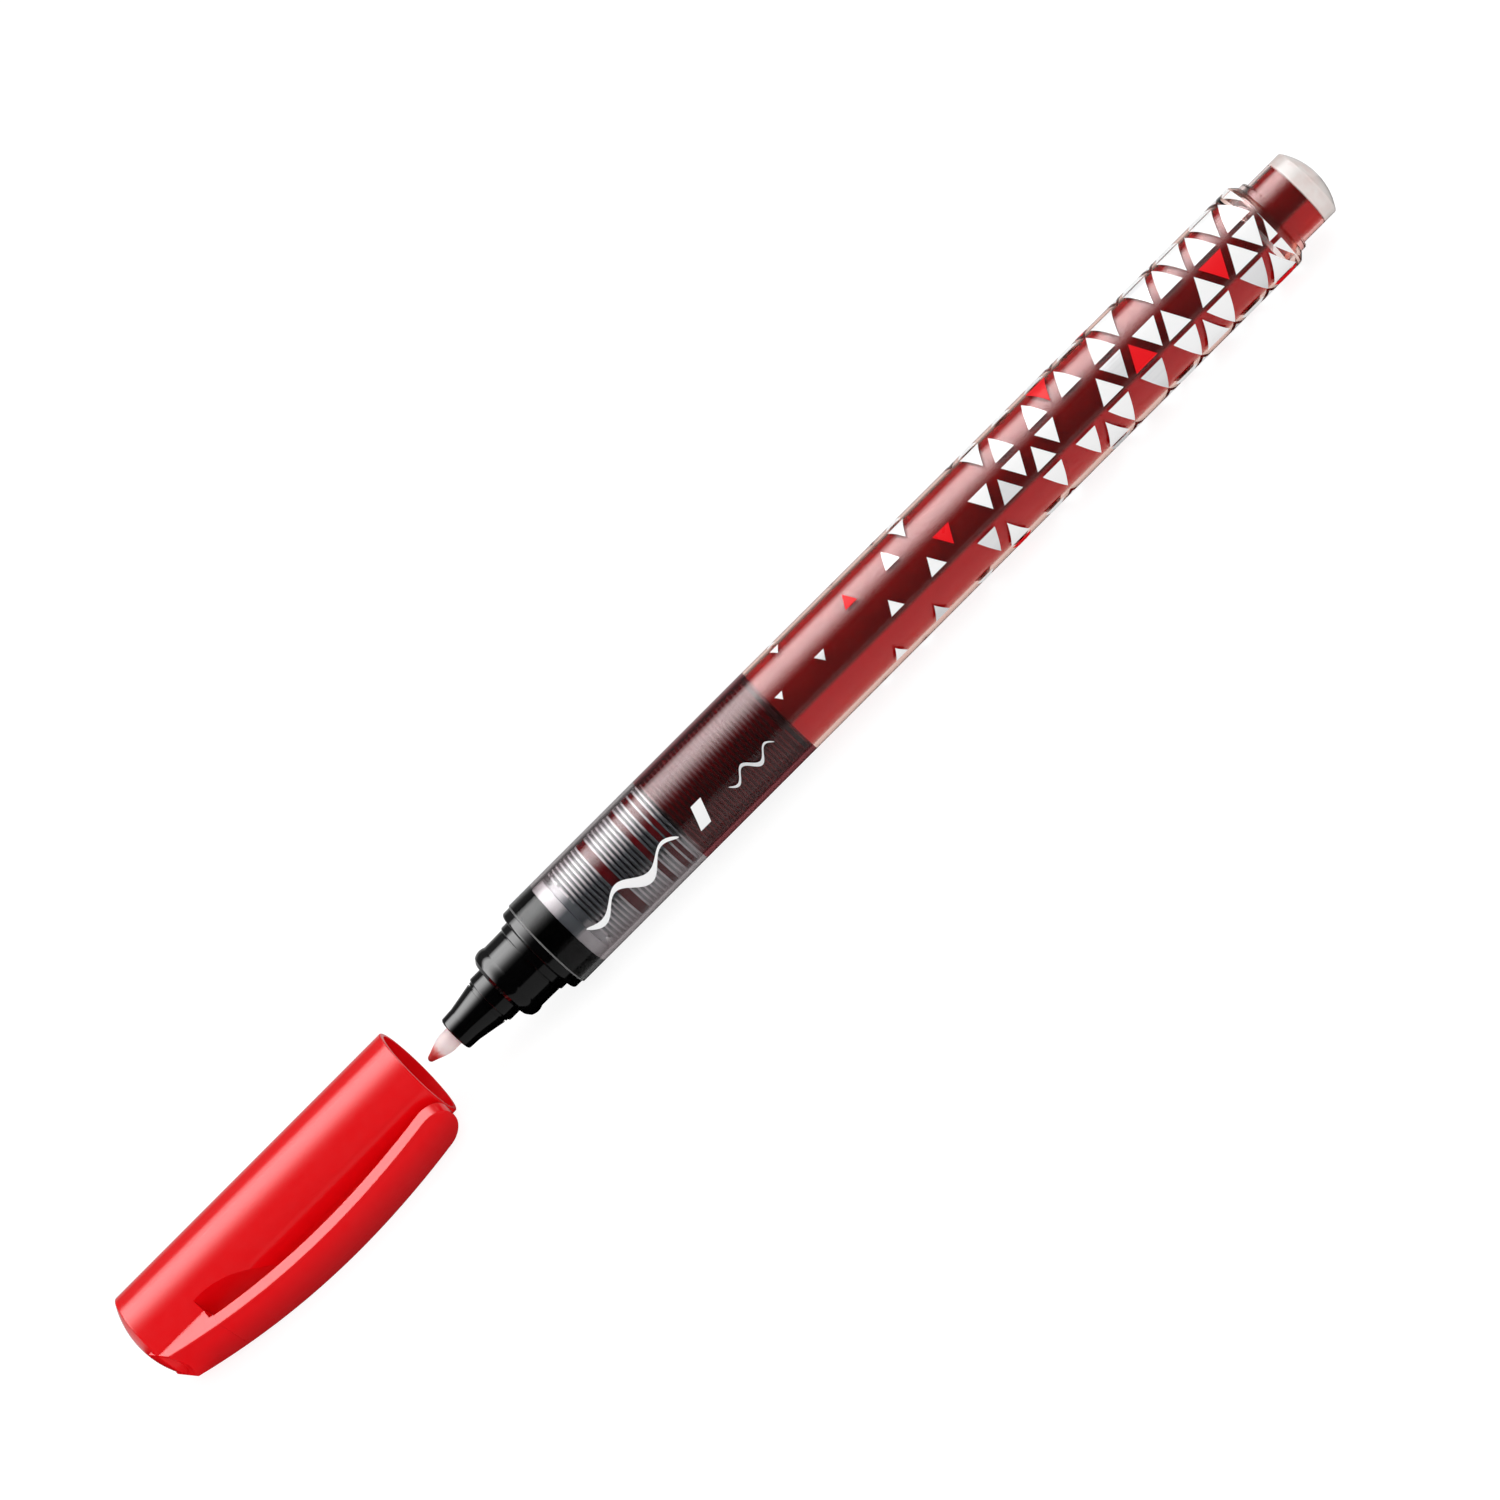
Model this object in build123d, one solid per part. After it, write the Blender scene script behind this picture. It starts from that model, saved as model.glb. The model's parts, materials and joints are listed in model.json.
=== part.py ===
from build123d import *
import math
import os

# Free-ink fibre-tip pen with its cap off, lying on its barrel and on its clip.
# Every piece is turned about the pen's axis, which is the X axis. A station is a distance along that axis from
# the nib's tip, positive towards the tail, so the cap has negative stations. Sizes are in millimetres.

# ---- Driving dimensions -------------------------------------------------------------------------------
ORIGIN_STATION = 30.0  # the frame's origin lies on the axis, this far behind the nib's tip

BARREL_R = 5.0  # grip length of the barrel, a true cylinder
BARREL_TAIL_R = 4.85  # the barrel's moulding draft ends here
BARREL_WALL = 0.45
BARREL_FRONT = 15.6
BARREL_DRAFT_FROM = 46.5
BARREL_REAR = 111.1
NECK_FRONT = 109.4  # the bore narrows to here, and the tail plug is pressed in behind
NECK_TAPER = 0.6
SLIP = 0.02  # radial clearance between pieces that are pressed or pushed together

NIB_R = 1.0
NIB_SHOULDER = 2.5
NIB_REAR = 12.0
NIB_SOCKET = 1.0  # depth of the cone in the nib's rear end, where the feed rod enters

NOSE_FRONT = 3.5
NOSE_FRONT_R = 1.87
NOSE_CONE_END = 8.1
NOSE_CONE_END_R = 2.48
NOSE_RING_R = 2.69
NOSE_SHANK_R = 2.28
NOSE_REAR = 14.0

SECTION_FRONT = 9.6
SECTION_BEAD = 10.6
SECTION_BEAD_R = 3.98
SECTION_WAIST = 11.25
SECTION_WAIST_R = 3.83
SECTION_GROOVE = 13.45
SECTION_GROOVE_WIDTH = 0.16
SECTION_GROOVE_DEPTH = 0.12
SECTION_RING_R = 4.02
COLLAR_FRONT = 14.55
COLLAR_R = 4.84
SECTION_REAR = 18.35
SECTION_BORE_R = NOSE_SHANK_R + SLIP

COLLECTOR_FRONT = 14.3
COLLECTOR_REAR = 46.5
COLLECTOR_CORE_R = 2.1
FIN_R = BARREL_R - BARREL_WALL - 0.04
FIN_THICKNESS = 0.2
FIN_PITCH = 0.5
COLLECTOR_COLLAR_END = 19.65
VENT_GROOVE_R = 3.6
VENT_NOTCHES = 16
REAR_FLANGE_FRONT = 45.6
DRY_FIN_GROUPS = ((20.4, 8), (25.1, 7), (28.9, 3), (30.7, 1), (31.4, 2))  # first station and number of fins
WET_FINS_FROM = 32.4
AIR_SLOT_WIDTH = 0.5
SEAL_WIDTH = 0.45
SEAL_DEPTH = 0.5

FEED_R = 0.9
FEED_REAR = 50.0

PLUG_SKIRT_FRONT = 109.3
PLUG_SKIRT_R = 3.93
PLUG_FLANGE_R = 4.14
PLUG_FLANGE_REAR = 111.85
POST_R = 3.76
POST_REAR = 116.05
POST_DOME = 1.2
PLUG_CAVITY_R = 3.38
POST_CAVITY_R = 3.42
POST_STEP = 112.6
INK_REAR = 115.0

CAP_MOUTH = -1.4
CAP_MOUTH_R = 5.08
CAP_RIM = -36.85
CAP_RIM_R = 5.05
CAP_DOME = 1.5
CAP_COUNTERBORE_R = 4.62
CAP_COUNTERBORE_END = -4.4
CAP_BORE_R = 4.27
CAP_LEDGE = -19.5  # the inner cap's flange sits here
CAP_LEDGE_BORE_R = 3.9
CAP_BORE_END = -35.8
CAP_CAVITY_R = 2.4  # the bore narrows to this under the scoop, where the wall is thick for the clip's root
CAP_CAVITY_TAPER = (-24.2, -27.0)
GRIP_BEAD = -5.3  # comes to lie over the section's own bead when the cap is on
GRIP_BEAD_R = SECTION_BEAD_R + 0.04

INNER_CAP_MOUTH = -6.65
INNER_CAP_LIP_R = NOSE_RING_R + 0.03
INNER_CAP_BORE_R = 2.96
INNER_CAP_TUBE_R = 3.5
INNER_CAP_END = -18.5
INNER_CAP_FLANGE = 1.0

CLIP_DIP = 20.1  # degrees below the horizontal, so that the clip's edge touches the surface the cap lies on
CLIP_WIDTH = 5.0
CLIP_EDGE_R = 0.12
CLIP_THICKNESS = 1.36
CLIP_OUTER = ((-36.12, 5.41), (-31.8, 6.62), (-26.5, 7.7), (-17.5, 8.48), (-10.0, 8.14), (-1.38, 6.78))
CLIP_TOE = (-37.6, 3.43)  # the clip's end slants down over the cap's closed end to here
TOE_DISH_WIDTH = 4.4  # the slanted end is dished between two narrow rims
TOE_DISH_DEPTH = 0.25
CLIP_ROOT_FRONT = -30.85  # solid down to the shell as far as here
CLIP_SPLIT = -30.4  # the springy arm starts here
CLIP_SPLIT_GAP = 0.01
CLIP_TIP_CORNER_R = 2.3
SCOOP = ((-30.85, 3.58), (-28.9, 3.62), (-27.2, 3.92), (-25.05, 4.55), (-23.2, 5.05))  # hollow under the arm


# ---- Helpers -------------------------------------------------------------------------------------------
def lathe(points, rounds=()):
    """A solid turned about the axis from (station, radius) points; rounds holds (corner, fillet radius)."""
    outline = make_face(Polyline(*points, close=True))
    for corner, radius in rounds:
        outline = fillet(outline.vertices().sort_by_distance(Vector(*corner))[0], radius)
    return revolve(outline, Axis.X)


def tube(front, rear, outer, inner=0.0):
    """A plain turned cylinder or ring between two stations."""
    return lathe([(front, inner), (front, outer), (rear, outer), (rear, inner)])


def barrel_radius(station):
    """The barrel's outer radius, with its moulding draft."""
    drafted = BARREL_REAR - BARREL_DRAFT_FROM
    share = min(max((station - BARREL_DRAFT_FROM) / drafted, 0.0), 1.0)
    return BARREL_R + (BARREL_TAIL_R - BARREL_R) * share


def barrel_bore(station):
    """The barrel's inner radius."""
    return barrel_radius(station) - BARREL_WALL


def to_clip_side(shape):
    """Turns a shape that was made with the clip pointing up so that it points where the clip does."""
    return Rot(90.0 + CLIP_DIP, 0, 0) * shape


# ---- The pen -------------------------------------------------------------------------------------------
def make_barrel():
    """Clear tube with a rounded shoulder at its rear, and a neck that holds the tail plug."""
    taper_front = NECK_FRONT - NECK_TAPER
    neck_r = PLUG_SKIRT_R + SLIP
    shoulder_r = PLUG_FLANGE_R + 0.1
    points = [
        (BARREL_FRONT, barrel_bore(BARREL_FRONT)),
        (BARREL_FRONT, BARREL_R),
        (BARREL_DRAFT_FROM, BARREL_R),
        (BARREL_REAR - 0.6, barrel_radius(BARREL_REAR - 0.6)),
        (BARREL_REAR, shoulder_r),
        (BARREL_REAR, neck_r),
        (NECK_FRONT, neck_r),
        (taper_front, barrel_bore(taper_front)),
        (BARREL_DRAFT_FROM, barrel_bore(BARREL_DRAFT_FROM)),
    ]
    return lathe(points, [(points[1], 0.1), (points[3], 0.5)])


def make_tail_plug():
    """Clear plug with a skirt in the barrel's neck, a flange, and the hollow post that the cap is posted on."""
    sphere_r = (POST_R**2 + POST_DOME**2) / (2 * POST_DOME)
    apex = POST_REAR + POST_DOME
    half_r = POST_R / 2
    half_way = apex - sphere_r + math.sqrt(sphere_r**2 - half_r**2)
    walls = Polyline(
        (apex, 0),
        (INK_REAR, 0),
        (INK_REAR, POST_CAVITY_R),
        (POST_STEP, POST_CAVITY_R),
        (POST_STEP, PLUG_CAVITY_R),
        (PLUG_SKIRT_FRONT, PLUG_CAVITY_R),
        (PLUG_SKIRT_FRONT, PLUG_SKIRT_R),
        (BARREL_REAR, PLUG_SKIRT_R),
        (BARREL_REAR, PLUG_FLANGE_R),
        (PLUG_FLANGE_REAR, PLUG_FLANGE_R),
        (PLUG_FLANGE_REAR, POST_R),
        (POST_REAR, POST_R),
    )
    dome = ThreePointArc((POST_REAR, POST_R), (half_way, half_r), (apex, 0))
    outline = make_face(walls + dome)
    for corner, radius in (((POST_REAR, POST_R), 0.3), ((PLUG_FLANGE_REAR, PLUG_FLANGE_R), 0.2)):
        outline = fillet(outline.vertices().sort_by_distance(Vector(*corner))[0], radius)
    return revolve(outline, Axis.X)


def make_ink():
    """The ink in the barrel and the tail plug, around the feed rod's rear end."""
    front = COLLECTOR_REAR
    taper_front = NECK_FRONT - NECK_TAPER
    skirt_clear = PLUG_SKIRT_FRONT - SLIP
    points = [
        (front, FEED_R + SLIP),
        (front, barrel_bore(front) - SLIP),
        (taper_front - SLIP, barrel_bore(taper_front) - SLIP),
        (skirt_clear, PLUG_SKIRT_R - SLIP),
        (skirt_clear, PLUG_CAVITY_R - SLIP),
        (POST_STEP, PLUG_CAVITY_R - SLIP),
        (POST_STEP, POST_CAVITY_R - SLIP),
        (INK_REAR, POST_CAVITY_R - SLIP),
        (INK_REAR, 0),
        (FEED_REAR + SLIP, 0),
        (FEED_REAR + SLIP, FEED_R + SLIP),
    ]
    return lathe(points)


def fin_stations():
    """Front station of every fin on the collector's stem, in order."""
    dry = [start + i * FIN_PITCH for start, count in DRY_FIN_GROUPS for i in range(count)]
    wet_count = int((REAR_FLANGE_FRONT - WET_FINS_FROM) / FIN_PITCH)
    return dry + [WET_FINS_FROM + i * FIN_PITCH for i in range(wet_count)]


def fin_gaps():
    """The gap behind every fin, as (front, rear) stations."""
    fins = fin_stations()
    return [(front + FIN_THICKNESS, rear) for front, rear in zip(fins, fins[1:] + [REAR_FLANGE_FRONT])]


def seal_groove():
    """Front and rear stations of the groove in the collector's rear flange."""
    middle = (REAR_FLANGE_FRONT + COLLECTOR_REAR) / 2
    return middle - SEAL_WIDTH / 2, middle + SEAL_WIDTH / 2


def make_collector():
    """Finned ink regulator in one moulding: stem, vented collar, fins, and a rear flange with a seal groove."""
    seal_front, seal_rear = seal_groove()
    first_fin = fin_stations()[0]
    points = [
        (COLLECTOR_FRONT, FEED_R + SLIP),
        (COLLECTOR_FRONT, NOSE_SHANK_R),
        (SECTION_REAR, NOSE_SHANK_R),
        (SECTION_REAR, FIN_R),
        (COLLECTOR_COLLAR_END, FIN_R),
        (COLLECTOR_COLLAR_END, VENT_GROOVE_R),
        (first_fin, VENT_GROOVE_R),
    ]
    for front, rear in fin_gaps():
        points += [(front - FIN_THICKNESS, FIN_R), (front, FIN_R)]
        points += [(front, COLLECTOR_CORE_R), (rear, COLLECTOR_CORE_R)]
    points += [
        (REAR_FLANGE_FRONT, FIN_R),
        (seal_front, FIN_R),
        (seal_front, FIN_R - SEAL_DEPTH),
        (seal_rear, FIN_R - SEAL_DEPTH),
        (seal_rear, FIN_R),
        (COLLECTOR_REAR, FIN_R),
        (COLLECTOR_REAR, FEED_R + SLIP),
    ]
    body = lathe(points)
    slot_length = REAR_FLANGE_FRONT - first_fin
    slot_floor = COLLECTOR_CORE_R + 0.3
    slot = Pos(first_fin, 0, -slot_floor) * Box(
        slot_length, AIR_SLOT_WIDTH, BARREL_R, align=(Align.MIN, Align.CENTER, Align.MAX)
    )
    body -= slot
    notch = Pos(COLLECTOR_COLLAR_END, 0, FIN_R) * Box(
        first_fin - COLLECTOR_COLLAR_END + FIN_THICKNESS, 0.5, 0.8, align=(Align.MIN, Align.CENTER, Align.CENTER)
    )
    for i in range(VENT_NOTCHES):
        body -= Rot(360.0 * i / VENT_NOTCHES, 0, 0) * notch
    return body


def make_collector_ink():
    """Separate rings of ink in the collector's wide gaps and in every gap towards its rear."""
    rings = []
    for front, rear in fin_gaps():
        wide = rear - front > 1.2 * (FIN_PITCH - FIN_THICKNESS)
        if wide or front > WET_FINS_FROM:
            rings.append(tube(front + SLIP, rear - SLIP, FIN_R - SLIP, COLLECTOR_CORE_R + SLIP))
    return Compound(children=rings)


def make_collector_seal():
    """Rubber ring in the collector's rear flange, which seals the ink space."""
    seal_front, seal_rear = seal_groove()
    return tube(seal_front + SLIP, seal_rear - SLIP, BARREL_R - BARREL_WALL - SLIP, FIN_R - SEAL_DEPTH + SLIP)


def make_feed_rod():
    """Fibre rod that brings the ink through the collector to the nib, with a point in the nib's socket."""
    cone_front = NIB_REAR - 0.8 * NIB_SOCKET
    shoulder = NIB_REAR + SLIP
    return lathe([(cone_front, 0), (shoulder, 0.55), (shoulder, FEED_R), (FEED_REAR, FEED_R), (FEED_REAR, 0)])


def make_section():
    """Black front section: grip with a bead, a waist and a ring, the cap's collar, and a plug in the barrel."""
    groove_end = SECTION_GROOVE + SECTION_GROOVE_WIDTH
    groove_r = SECTION_WAIST_R + 0.03 - SECTION_GROOVE_DEPTH
    plug_r = BARREL_R - BARREL_WALL - SLIP
    nose_seat = Line((SECTION_REAR, SECTION_BORE_R), (SECTION_FRONT, SECTION_BORE_R))
    face = Polyline((SECTION_FRONT, SECTION_BORE_R), (SECTION_FRONT, 3.35), (SECTION_FRONT + 0.35, 3.8))
    shoulder = Spline((SECTION_FRONT + 0.35, 3.8), (SECTION_BEAD, SECTION_BEAD_R), (SECTION_WAIST, SECTION_WAIST_R))
    grip = Line((SECTION_WAIST, SECTION_WAIST_R), (SECTION_GROOVE, SECTION_WAIST_R + 0.03))
    rear = Polyline(
        (SECTION_GROOVE, SECTION_WAIST_R + 0.03),
        (SECTION_GROOVE, groove_r),
        (groove_end, groove_r),
        (groove_end, SECTION_RING_R - 0.08),
        (groove_end + 0.08, SECTION_RING_R),
        (COLLAR_FRONT - 0.1, SECTION_RING_R),
        (COLLAR_FRONT, SECTION_RING_R - 0.1),
        (COLLAR_FRONT, COLLAR_R),
        (BARREL_FRONT - SLIP, COLLAR_R),
        (BARREL_FRONT - SLIP, plug_r),
        (SECTION_REAR, plug_r),
        (SECTION_REAR, SECTION_BORE_R),
    )
    outline = make_face(nose_seat + face + shoulder + grip + rear)
    for corner, radius in (((SECTION_FRONT, 3.35), 0.15), ((COLLAR_FRONT, COLLAR_R), 0.3)):
        outline = fillet(outline.vertices().sort_by_distance(Vector(*corner))[0], radius)
    return revolve(outline, Axis.X)


def make_nose_cone():
    """Black cone with a ring behind it and a shank that is pushed into the section; it holds the nib."""
    bore = NIB_R + SLIP
    seam = NOSE_CONE_END - 0.45
    seam_r = NOSE_CONE_END_R - 0.16
    points = [
        (NOSE_FRONT, bore),
        (NOSE_FRONT, NOSE_FRONT_R),
        (4.9, 1.95),
        (6.1, 2.16),
        (seam, NOSE_CONE_END_R - 0.03),
        (seam, seam_r),
        (seam + 0.22, seam_r),
        (seam + 0.22, NOSE_CONE_END_R),
        (NOSE_CONE_END, NOSE_CONE_END_R),
        (NOSE_CONE_END, NOSE_RING_R),
        (SECTION_FRONT - SLIP, NOSE_RING_R),
        (SECTION_FRONT - SLIP, NOSE_SHANK_R),
        (NOSE_REAR, NOSE_SHANK_R),
        (NOSE_REAR, bore),
    ]
    return lathe(points, [(points[1], 0.25), (points[9], 0.15), (points[10], 0.1)])


def make_nib():
    """Fibre nib: a rounded point that swells to a round rod, with a socket for the feed rod in its rear."""
    rear = Polyline(
        (NIB_SHOULDER, NIB_R), (NIB_REAR, NIB_R), (NIB_REAR, 0.62), (NIB_REAR - NIB_SOCKET, 0), (0, 0)
    )
    point = ThreePointArc((0, 0), (0.06, 0.19), (0.25, 0.33))
    swell = Spline((0.25, 0.33), (0.95, 0.58), (1.65, 0.84), (NIB_SHOULDER, NIB_R))
    return revolve(make_face(point + swell + rear), Axis.X)


# ---- The cap -------------------------------------------------------------------------------------------
def outer_radius(station):
    """Rough distance of the clip's outer face from the axis, read between the stated points."""
    points = (CLIP_TOE,) + CLIP_OUTER
    for (x0, r0), (x1, r1) in zip(points, points[1:]):
        if station <= x1:
            return r0 + (r1 - r0) * (station - x0) / (x1 - x0)
    return points[-1][1]


def clip_outline(front, rear):
    """Side view of the clip between two stations, pointing up, as a face in the XZ plane."""
    outer = Spline(*[(x, r) for x, r in CLIP_OUTER])
    tip_x, tip_r = CLIP_OUTER[-1]
    heel_x, heel_r = CLIP_OUTER[0]
    under = Spline(*[(x, r - CLIP_THICKNESS) for x, r in reversed(CLIP_OUTER)])
    tip = Line((tip_x, tip_r), (tip_x, tip_r - CLIP_THICKNESS))
    heel = Line((heel_x, heel_r - CLIP_THICKNESS), (heel_x, heel_r))
    strip = make_face(outer + tip + under + heel)
    window = Pos(front, 0) * Rectangle(rear - front, 40, align=(Align.MIN, Align.CENTER))
    return Plane.XZ * (strip & window)


def make_clip_blank(front, rear):
    """The clip's curved strip between two stations, pointing up, at full width."""
    return extrude(clip_outline(front, rear), CLIP_WIDTH / 2, both=True)


def long_outer_edges(shape):
    """Edges along the clip's outer face, on both sides of a shape that points up."""
    side = CLIP_WIDTH / 2
    edges = [e for e in shape.edges() if abs(abs(e.center().Y) - side) < 0.01]
    return [e for e in edges if e.length > 0.8 and e.center().Z > outer_radius(e.center().X) - 0.4]


def make_toe_dish():
    """Cutter for the shallow dish along the clip's slanted end."""
    toe = Vector(CLIP_TOE[0], 0, CLIP_TOE[1])
    heel = Vector(CLIP_OUTER[0][0], 0, CLIP_OUTER[0][1])
    slope = (heel - toe).normalized()
    outward = Vector(-slope.Z, 0, slope.X)
    half = TOE_DISH_WIDTH / 2
    radius = (half**2 + TOE_DISH_DEPTH**2) / (2 * TOE_DISH_DEPTH)
    middle = toe + (heel - toe) * 0.6 + outward * (radius - TOE_DISH_DEPTH)
    return Plane(origin=middle, z_dir=slope) * Cylinder(radius, 1.5 * (heel - toe).length)


def make_clip_root():
    """The solid foot that joins the clip to the shell and slants down over the cap's closed end."""
    heel_x, heel_r = CLIP_OUTER[0]
    toe_x, toe_r = CLIP_TOE
    core_r = CAP_LEDGE_BORE_R + 0.3
    foot = make_face(
        Polyline(
            (toe_x, toe_r),
            (heel_x, heel_r),
            (CLIP_ROOT_FRONT, CLIP_OUTER[1][1] - 0.2),
            (CLIP_ROOT_FRONT, core_r),
            (CAP_BORE_END - 0.3, core_r),
            (CAP_BORE_END - 0.3, toe_r),
            close=True,
        )
    )
    block = extrude(Plane.XZ * foot, CLIP_WIDTH / 2, both=True)
    root = block + make_clip_blank(heel_x, CLIP_SPLIT)
    return fillet(long_outer_edges(root), CLIP_EDGE_R) - make_toe_dish()


def make_cap_shell():
    """Red cap: domed closed end, stepped bore, shallow scoop under the clip, and the clip's root."""
    half_way = CAP_RIM_R / 2
    sphere_r = (CAP_RIM_R**2 + CAP_DOME**2) / (2 * CAP_DOME)
    apex = CAP_RIM - CAP_DOME
    arc_x = apex + sphere_r - math.sqrt(sphere_r**2 - half_way**2)
    walls = Polyline(
        (apex, 0),
        (CAP_BORE_END, 0),
        (CAP_BORE_END, CAP_CAVITY_R),
        (CAP_CAVITY_TAPER[1], CAP_CAVITY_R),
        (CAP_CAVITY_TAPER[0], CAP_LEDGE_BORE_R),
        (CAP_LEDGE, CAP_LEDGE_BORE_R),
        (CAP_LEDGE, CAP_BORE_R),
        (GRIP_BEAD - 0.5, CAP_BORE_R),
        (GRIP_BEAD - 0.2, GRIP_BEAD_R),
        (GRIP_BEAD + 0.2, GRIP_BEAD_R),
        (GRIP_BEAD + 0.5, CAP_BORE_R),
        (CAP_COUNTERBORE_END - 0.3, CAP_BORE_R),
        (CAP_COUNTERBORE_END, CAP_COUNTERBORE_R),
        (CAP_MOUTH, CAP_COUNTERBORE_R),
        (CAP_MOUTH, CAP_MOUTH_R),
        (CAP_RIM, CAP_RIM_R),
    )
    dome = ThreePointArc((CAP_RIM, CAP_RIM_R), (arc_x, half_way), (apex, 0))
    outline = make_face(walls + dome)
    for corner, radius in (((CAP_MOUTH, CAP_MOUTH_R), 0.15), ((CAP_RIM, CAP_RIM_R), 0.25)):
        outline = fillet(outline.vertices().sort_by_distance(Vector(*corner))[0], radius)
    shell = revolve(outline, Axis.X)
    floor = Spline(*SCOOP)
    first_x, first_r = SCOOP[0]
    last_x, last_r = SCOOP[-1]
    above = CAP_RIM_R + 1.0
    lid = Polyline((last_x, last_r), (last_x, above), (first_x, above), (first_x, first_r))
    shell -= extrude(Plane.XZ * make_face(floor + lid), CAP_RIM_R, both=True)
    return to_clip_side(shell + make_clip_root())


def make_cap_clip():
    """The clip's springy arm, with a rounded tip and softened edges."""
    tip_x = CLIP_OUTER[-1][0]
    blank = make_clip_blank(CLIP_SPLIT + CLIP_SPLIT_GAP, tip_x + 1.0)
    tip_edges = blank.edges().filter_by(Axis.Z).group_by(Axis.X)[-1]
    arm = fillet(tip_edges, CLIP_TIP_CORNER_R)
    split = CLIP_SPLIT + CLIP_SPLIT_GAP
    rim = [e for e in arm.edges() if abs(e.center().X - split) > 0.1 and abs(e.tangent_at(0.5).Z) < 0.9]
    return to_clip_side(fillet(rim, CLIP_EDGE_R))


def make_inner_cap():
    """Seal liner: a cup whose lip closes on the nose ring when the cap is on, with a flange on the cap's ledge."""
    flange_front = CAP_LEDGE + INNER_CAP_FLANGE
    points = [
        (CAP_LEDGE + SLIP, 0),
        (CAP_LEDGE + SLIP, CAP_BORE_R - SLIP),
        (flange_front, CAP_BORE_R - SLIP),
        (flange_front, INNER_CAP_TUBE_R),
        (INNER_CAP_MOUTH, INNER_CAP_TUBE_R - 0.15),
        (INNER_CAP_MOUTH, INNER_CAP_LIP_R + 0.12),
        (INNER_CAP_MOUTH - 0.2, INNER_CAP_LIP_R),
        (INNER_CAP_MOUTH - 0.9, INNER_CAP_LIP_R),
        (INNER_CAP_MOUTH - 1.2, INNER_CAP_BORE_R),
        (flange_front, INNER_CAP_BORE_R),
        (flange_front, 0),
    ]
    return lathe(points)


# ---- Build ---------------------------------------------------------------------------------------------
PIECES = {
    "barrel": make_barrel,
    "tail_plug": make_tail_plug,
    "ink_reservoir": make_ink,
    "collector": make_collector,
    "collector_ink": make_collector_ink,
    "collector_seal": make_collector_seal,
    "feed_rod": make_feed_rod,
    "front_section": make_section,
    "nose_cone": make_nose_cone,
    "nib": make_nib,
    "cap_shell": make_cap_shell,
    "inner_cap": make_inner_cap,
    "cap_clip": make_cap_clip,
}

os.makedirs("parts", exist_ok=True)
for node, make in PIECES.items():
    export_step(Pos(-ORIGIN_STATION, 0, 0) * make(), f"parts/{node}.step")
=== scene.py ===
"""Looks for the free-ink fibre-tip pen: materials, printed decoration, light, floor and camera.

Stations are distances in millimetres along the pen's axis from the nib's tip, positive towards the tail.
Around the pen, angles are in degrees from the side that faces the camera, positive towards the surface below.
"""

import json
import math

import bmesh
import bpy
from mathutils import Matrix, Vector

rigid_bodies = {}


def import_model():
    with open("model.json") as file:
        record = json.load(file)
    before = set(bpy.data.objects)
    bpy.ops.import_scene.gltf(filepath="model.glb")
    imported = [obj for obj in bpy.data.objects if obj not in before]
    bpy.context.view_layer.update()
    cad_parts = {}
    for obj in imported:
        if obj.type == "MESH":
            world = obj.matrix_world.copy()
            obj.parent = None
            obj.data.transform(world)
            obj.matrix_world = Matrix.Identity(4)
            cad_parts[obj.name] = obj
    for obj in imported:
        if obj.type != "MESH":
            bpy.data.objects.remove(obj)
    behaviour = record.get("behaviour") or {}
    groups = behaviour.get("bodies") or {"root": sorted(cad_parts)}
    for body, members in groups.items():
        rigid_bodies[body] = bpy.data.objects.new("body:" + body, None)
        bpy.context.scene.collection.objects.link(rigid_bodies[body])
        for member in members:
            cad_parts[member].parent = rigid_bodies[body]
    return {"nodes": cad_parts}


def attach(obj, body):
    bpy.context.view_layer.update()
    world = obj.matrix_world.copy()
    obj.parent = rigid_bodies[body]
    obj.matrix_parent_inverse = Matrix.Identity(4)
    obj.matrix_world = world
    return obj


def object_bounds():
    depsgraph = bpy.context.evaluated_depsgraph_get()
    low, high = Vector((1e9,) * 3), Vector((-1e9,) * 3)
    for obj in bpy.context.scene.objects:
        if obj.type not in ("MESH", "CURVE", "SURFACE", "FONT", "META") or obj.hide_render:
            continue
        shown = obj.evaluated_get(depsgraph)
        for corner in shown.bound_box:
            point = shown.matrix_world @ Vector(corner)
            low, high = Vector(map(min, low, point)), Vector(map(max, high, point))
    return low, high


# ---- Driving values ----------------------------------------------------------------------------------
MM = 0.001
ORIGIN_STATION = 30.0
VIEW_ELEVATION = 28.2  # degrees above the horizontal, looking along +Y
CAMERA_DISTANCE = 488.0
CAMERA_FOOT = 59.9  # station that the camera is square to
AIM_STATION = 41.98
AIM_BELOW_AXIS = 0.68
FRAME_WIDTH = 140.4  # millimetres across the picture at the pen
ROLL = 45.0  # the pen rises from lower left to upper right in the picture

BARREL_FRONT = 15.6
BARREL_R = 5.0
BARREL_TAIL_R = 4.85
DRAFT_FROM = 46.5
BARREL_REAR = 111.1
SECTION_REAR = 18.35  # the grip's black plug reaches to here inside the barrel
TINT_END = 46.5
DRY_TO = 32.0  # the collector's fins behind this station are stained by the ink
MILKY_FROM = 114.55
MILKY_BLEND = 0.15  # the plug turns milky over this length
STAIN_BLEND = 0.6  # the collector turns from clean to stained over this length
PAINTED_GLINT_EDGE = 0.04  # length of the barrel's front edge that has a painted glint: pale and less clear
FIN_ROOT_R = 2.0
FIN_RIM_R = 4.4
PAINTED_SHADE_FROM_R = 5.4  # the clip's painted shade, a deeper red, begins at this distance from the axis
PAINTED_SHADE_FULL_R = 6.4
PRINT_THICKNESS = 0.012
PRINT_LIFT = 0.002  # gap under the print, so that it doesn't share the barrel's surface


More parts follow.
